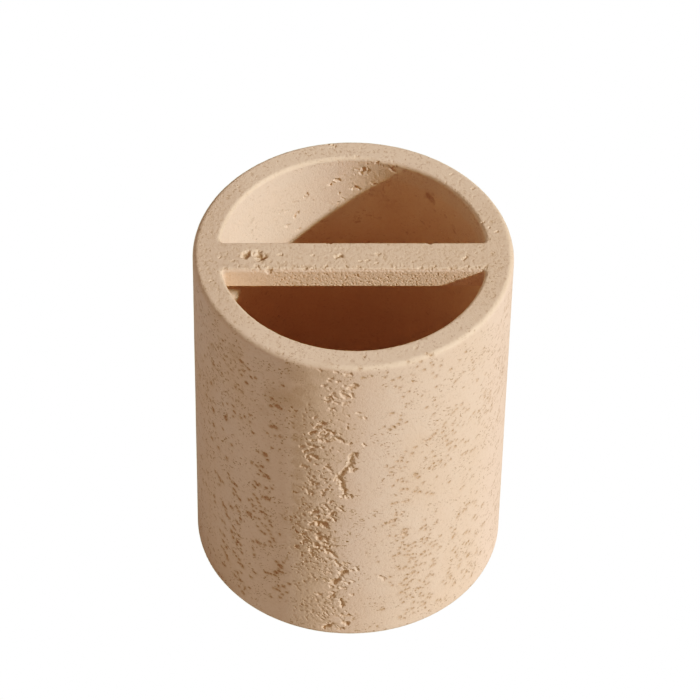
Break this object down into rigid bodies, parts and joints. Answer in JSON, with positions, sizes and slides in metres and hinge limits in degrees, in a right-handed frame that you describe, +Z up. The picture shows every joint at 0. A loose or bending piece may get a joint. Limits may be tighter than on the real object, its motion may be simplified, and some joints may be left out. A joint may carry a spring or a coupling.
{
  "type": "toothbrush holder",
  "caption": "Free-standing cylindrical stone cup with a flat rim and one straight bar across its mouth, which parts brushes and paste into D-shaped openings.",
  "frame": {"origin": "centre of the footprint, on the shelf that the pads stand on", "axes": "+Z up along the cylinder; the divider bar runs along X; the front, which the bar is set a little towards, faces -Y"},
  "size_m": [0.08, 0.08, 0.102],
  "materials": {
    "travertine": "honed, open pores left unfilled",
    "travertine_disc": "ground flat, matt",
    "stone_adhesive": "matt, tinted to the stone",
    "clear_pad": "clear soft pad, satin"
  },
  "bodies": {
    "root": {"stone_body": "travertine", "base_disc": "travertine_disc", "bond_ring": "stone_adhesive", "foot_pad_1": "clear_pad", "foot_pad_2": "clear_pad", "foot_pad_3": "clear_pad", "foot_pad_4": "clear_pad"}
  },
  "joints": []
}
